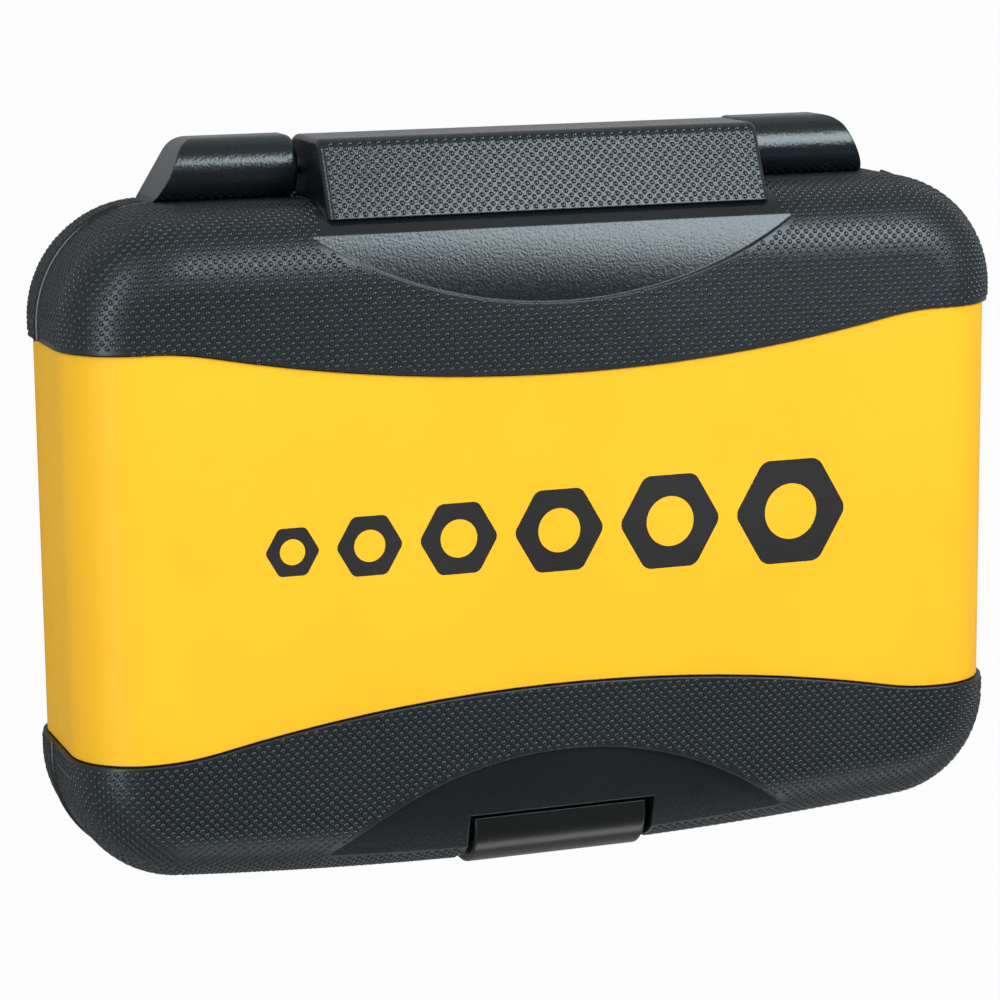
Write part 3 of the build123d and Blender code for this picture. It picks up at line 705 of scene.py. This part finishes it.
def thinCrowd(points, gap):
    # where the corners crowd the grid, a dot stays only if no kept one is nearer than the gap;
    # those farthest from the seam are kept first
    tree = KDTree(len(points))
    for i, spot in enumerate(points):
        tree.insert(spot, i)
    tree.balance()
    keep = np.ones(len(points), dtype=bool)
    for i in np.argsort(-np.abs(points[:, 2] - casePlan["parting"] * mm), kind="stable"):
        if keep[i]:
            for found in tree.find_range(points[i], gap):
                if found[1] != i:
                    keep[found[1]] = False
    return keep


def onDottedArea(points):  # everywhere but along the seam and inside the hinge scoop
    (scoopX, scoopY), scoopRadius = casePlan["hingeScoop"]
    away = np.hypot(points[:, 0] - scoopX * mm, points[:, 1] - scoopY * mm)
    scoop = ((away < scoopRadius * mm) & (points[:, 2] > dotGrain["scoopTop"] * mm)
             & (np.abs(points[:, 0]) < dotGrain["scoopHalf"] * mm))
    seam = np.abs(points[:, 2] - casePlan["parting"] * mm) < dotGrain["seamMargin"] * mm
    return ~scoop & ~seam


dotModel = modelDot(dotGrain)
for half, rounding, top, way in (
        ("lid", casePlan["lidRounding"], casePlan["lidTop"], 1),
        ("base", casePlan["baseRounding"], 0.0, -1)):
    wall = abs(top - casePlan["parting"]) - rounding
    points, normals = wrapGrid(rounding, top, way, wall)
    dotted = onDottedArea(points)
    points, normals = points[dotted], normals[dotted]
    kept = onSurface(surfaceOf(half + "_shell"), points, normals)
    points, normals = points[kept], normals[kept]
    thinned = thinCrowd(points, dotGrain["crowd"] * mm)
    points, normals = points[thinned], normals[thinned]
    back, left = points[:, 1] > 0, points[:, 0] < 0
    for corner, chosen in (("BackLeft", back & left), ("BackRight", back & ~left),
                           ("FrontLeft", ~back & left), ("FrontRight", ~back & ~left)):
        piece = scatterCopies(half + "Dots" + corner, dotModel, points[chosen], normals[chosen])
        dress(piece, dotBlack, half)
        print(piece.name, int(chosen.sum()), "dots")

# The same dots on the sloping face of the hinge block

blockFace = {
    "front": (74.6, 56.0),     # y and z of the face where it leaves the lid
    "back": (93.5, 47.2),      # and at its back edge
    "halfWidth": 58.5,
    "sideMargin": 1.9,
    "frontMargin": 0.3,
    "backMargin": 1.6,
}


def blockPlaces(face):
    start, finish = Vector((0, *face["front"])), Vector((0, *face["back"]))
    down = (finish - start).normalized()
    normal = Vector((1, 0, 0)).cross(down)
    length = (finish - start).length
    pitch = dotGrain["pitch"]
    columns, rows = int(face["halfWidth"] / pitch) + 1, int(length / pitch) + 1
    places = []
    for shift in (0, 0.5):
        for i in range(-columns, columns + 1):
            for j in range(rows):
                x = (i + shift) * pitch
                run = face["frontMargin"] + dotGrain["footRadius"] + (j + shift) * pitch
                inside = abs(x) < face["halfWidth"] - face["sideMargin"]
                if inside and run < length - face["backMargin"] + dotGrain["footRadius"]:
                    places.append((Vector((x, 0, 0)) + start + down * run) * mm)
    return [place[:] for place in places], [normal[:]] * len(places)


points, normals = blockPlaces(blockFace)
blockDots = scatterCopies("blockDots", dotModel, points, normals)
dress(blockDots, dotBlack, "lid")
bpy.data.objects.remove(dotModel)
print("blockDots", len(points), "dots")

# Lip on the rim of the base, round its four corners just below the seam

seamLip = {
    "profile": ((-0.3, -0.05), (0.0, -0.05), (0.92, -0.58),  # reach past the wall, rise
                (1.02, -0.85), (0.8, -1.25), (-0.3, -1.9)),
    "steps": 28,
    "smoothAngle": 40,
    "backStart": 45.2,      # y where the cover ends on the side wall
    "frontStart": -56.1,
    "backTurn": 74.0,
    "frontTurn": 66.0,
}


def modelLip(centre, radius, side, start, turn, lip):
    # from the cover straight to the corner, then round it
    deselectAll()
    bpy.ops.mesh.primitive_circle_add(vertices=len(lip["profile"]), radius=mm, fill_type="NGON")
    piece = bpy.context.object
    for corner, (reach, rise) in zip(piece.data.vertices, lip["profile"]):
        corner.co = ((centre[0] + side * (radius + reach)) * mm, start * mm,
                     (casePlan["parting"] + rise) * mm)
    bpy.context.tool_settings.mesh_select_mode = (False, False, True)
    bpy.ops.object.mode_set(mode="EDIT")
    bpy.ops.mesh.select_all(action="SELECT")
    bpy.ops.mesh.extrude_region_move(
        TRANSFORM_OT_translate={"value": (0, (centre[1] - start) * mm, 0)})
    bpy.ops.mesh.spin(steps=lip["steps"], angle=math.radians(turn), axis=(0, 0, 1),
                      center=(centre[0] * mm, centre[1] * mm, 0))
    bpy.ops.mesh.select_all(action="SELECT")
    bpy.ops.mesh.normals_make_consistent(inside=False)
    bpy.ops.object.mode_set(mode="OBJECT")
    return piece


lips = []
for side in (1, -1):
    for name, start, turn in (("back", seamLip["backStart"], -seamLip["backTurn"]),
                              ("front", seamLip["frontStart"], seamLip["frontTurn"])):
        (x, y), radius, _, _ = cornerArcs()[name]
        lips.append(modelLip((side * x, y), radius, side, start, side * turn, seamLip))
seamLips = joinPieces(lips, "seamLips")
smoothOver(seamLips, seamLip["smoothAngle"])
dress(seamLips, latchBlack, "base")
print("seam lips done")

# Print on the lid cover: a row of nuts in rising sizes

nutPrint = {
    "flats": (12.0, 15.0, 18.0, 21.0, 24.0, 27.0),
    "gap": 4.2,
    "hole": 0.27,       # hole radius and corner rounding, as shares of the width
    "corner": 0.07,
    "middleY": -5.6,
    "faceZ": 60.8,
    "film": 0.05,
    "sink": 0.03,
}


def modelNut(flats, x, ink):
    height = ink["film"] + ink["sink"]
    middle = (x * mm, ink["middleY"] * mm, (ink["faceZ"] - ink["sink"] + height / 2) * mm)
    bpy.ops.mesh.primitive_cylinder_add(vertices=6, radius=flats / math.sqrt(3) * mm,
                                        depth=height * mm, location=middle)
    nut = bpy.context.object
    bpy.ops.object.mode_set(mode="EDIT")
    bpy.ops.mesh.select_all(action="SELECT")
    bpy.ops.transform.rotate(value=math.radians(30), orient_axis="Z", center_override=middle)
    bpy.ops.object.mode_set(mode="OBJECT")
    applyPlace(nut)
    for parts in (nut.data.vertices, nut.data.edges, nut.data.polygons):
        parts.foreach_set("select", [False] * len(parts))
    for edge in nut.data.edges:  # the six upright corners get rounded
        low, high = (nut.data.vertices[i].co for i in edge.vertices)
        edge.select = abs(low.z - high.z) > height * mm / 2
    bpy.context.tool_settings.mesh_select_mode = (False, True, False)
    bpy.ops.object.mode_set(mode="EDIT")
    bpy.ops.mesh.bevel(offset=flats * ink["corner"] * mm, segments=4, affect="EDGES")
    bpy.ops.object.mode_set(mode="OBJECT")
    bpy.ops.mesh.primitive_cylinder_add(vertices=48, radius=flats * ink["hole"] * mm,
                                        depth=4 * height * mm, location=middle)
    drill = bpy.context.object
    applyPlace(drill)
    applyModifier(nut, "BOOLEAN", object=drill, operation="DIFFERENCE", solver="EXACT")
    bpy.data.objects.remove(drill)
    return nut


deselectAll()
widths = [flats * 2 / math.sqrt(3) for flats in nutPrint["flats"]]
x = -(sum(widths) + nutPrint["gap"] * (len(widths) - 1)) / 2
nuts = []
for flats, width in zip(nutPrint["flats"], widths):
    nuts.append(modelNut(flats, x + width / 2, nutPrint))
    x += width + nutPrint["gap"]
nutRow = joinPieces(nuts, "nutPrint")
dress(nutRow, printInk, "lid")
print("print done")

# Size numbers moulded in the tray, one beside each cradle

trayNumbers = {
    "top": 27.0,
    "rise": 0.25,
    "sink": 0.05,
    "web": 3.0,
    "typeScale": 1.38,    # type size for a digit of height 1
    "rows": (
        {"sizes": (10, 11, 12, 13, 14, 15, 17, 19), "height": 3.4, "y": 31.5,
         "radii": (9.0, 9.5, 10.0, 10.5, 11.0, 11.5, 12.5, 13.5)},
        {"sizes": (4, 5, 6, 7, 8, 9, 10, 11, 12, 13), "height": 2.8, "y": -41.8,
         "radii": (5.5, 5.5, 6.0, 6.0, 6.5, 7.0, 7.5, 8.0, 8.5, 9.0)},
    ),
}


def modelNumber(digits, x, y, height, numbers):
    depth = (numbers["rise"] + numbers["sink"]) * mm
    middle = (x * mm, y * mm, (numbers["top"] - numbers["sink"]) * mm + depth / 2)
    bpy.ops.object.text_add(location=middle)
    text = bpy.context.object
    text.data.body = digits
    text.data.size = height * mm * numbers["typeScale"]
    text.data.align_x = "CENTER"
    text.data.align_y = "CENTER"
    text.data.extrude = depth / 2
    text.data.resolution_u = 3
    pick(text)
    bpy.ops.object.convert(target="MESH")
    applyPlace(text)
    return text


numberPieces = []
for row in trayNumbers["rows"]:
    x = -(2 * sum(row["radii"]) + trayNumbers["web"] * (len(row["radii"]) - 1)) / 2
    for size, radius in zip(row["sizes"], row["radii"]):
        numberPieces.append(
            modelNumber(str(size), x + radius, row["y"], row["height"], trayNumbers))
        x += 2 * radius + trayNumbers["web"]
sizeNumbers = joinPieces(numberPieces, "sizeNumbers")
dress(sizeNumbers, trayGrey, "base")
print("numbers done")

# Screws with a domed head and a cross recess

trayScrew = {
    "headRadius": 3.0, "headHeight": 2.0, "shankRadius": 1.5, "shankLength": 8.6,
    "headSteps": ((0.45, 1.0), (0.30, 0.90), (0.17, 0.72), (0.08, 0.42)),  # rise and narrowing
    "slotLength": 3.3, "slotWidth": 0.75, "slotDepth": 1.15, "cutterHeight": 4.0,
    "x": 111.5, "y": 32.0, "baseSeat": 27.0, "lidSeat": 43.3,
    "turn": 0.35, "smoothAngle": 28,
}


def modelScrew(screw):
    deselectAll()
    bpy.ops.mesh.primitive_cylinder_add(vertices=32, radius=screw["shankRadius"] * mm,
                                        depth=screw["shankLength"] * mm,
                                        location=(0, 0, -screw["shankLength"] / 2 * mm))
    piece = bpy.context.object
    applyPlace(piece)
    for face in piece.data.polygons:
        face.select = face.normal.z > 0.9
    bpy.ops.object.mode_set(mode="EDIT")
    bpy.ops.mesh.select_mode(type="FACE")
    bpy.ops.mesh.extrude_region_move(TRANSFORM_OT_translate={"value": (0, 0, 0)})
    spread = screw["headRadius"] / screw["shankRadius"]
    bpy.ops.transform.resize(value=(spread, spread, 1), center_override=(0, 0, 0))
    for rise, width in screw["headSteps"]:
        bpy.ops.mesh.extrude_region_move(
            TRANSFORM_OT_translate={"value": (0, 0, rise * screw["headHeight"] * mm)})
        bpy.ops.transform.resize(value=(width, width, 1), center_override=(0, 0, 0))
    bpy.ops.mesh.select_all(action="SELECT")
    bpy.ops.mesh.normals_make_consistent(inside=False)
    bpy.ops.object.mode_set(mode="OBJECT")
    tall = screw["cutterHeight"] * mm
    middleZ = (screw["headHeight"] - screw["slotDepth"]) * mm + tall / 2
    long, narrow = screw["slotLength"] * mm, screw["slotWidth"] * mm
    for size in ((long, narrow, tall), (narrow, long, tall)):  # the cross, one slot at a time
        bpy.ops.mesh.primitive_cube_add(size=1, location=(0, 0, middleZ), scale=size)
        cutter = bpy.context.object
        applyPlace(cutter)
        applyModifier(piece, "BOOLEAN", object=cutter, operation="DIFFERENCE", solver="EXACT")
        bpy.data.objects.remove(cutter)
    return piece


def placeScrews(name, model, seat, way):
    copies = []
    for x in (-trayScrew["x"], trayScrew["x"]):
        for y in (-trayScrew["y"], trayScrew["y"]):
            copy = model.copy()
            copy.data = model.data.copy()
            bpy.context.scene.collection.objects.link(copy)
            turn = trayScrew["turn"] * x / trayScrew["x"] + y  # each cross stands its own way
            copy.rotation_euler = (0 if way > 0 else math.pi, 0, turn)
            copy.location = (x * mm, (casePlan["middleY"] + y) * mm, seat * mm)
            copies.append(copy)
    piece = joinPieces(copies, name)
    smoothOver(piece, trayScrew["smoothAngle"])
    return piece


screwModel = modelScrew(trayScrew)
for half, way in (("base", 1), ("lid", -1)):
    piece = placeScrews(half + "Screws", screwModel, trayScrew[half + "Seat"], way)
    dress(piece, screwSteel, half)
    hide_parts(half + "_tray_screws")
bpy.data.objects.remove(screwModel)
print("screws done")

bpy.context.view_layer.update()
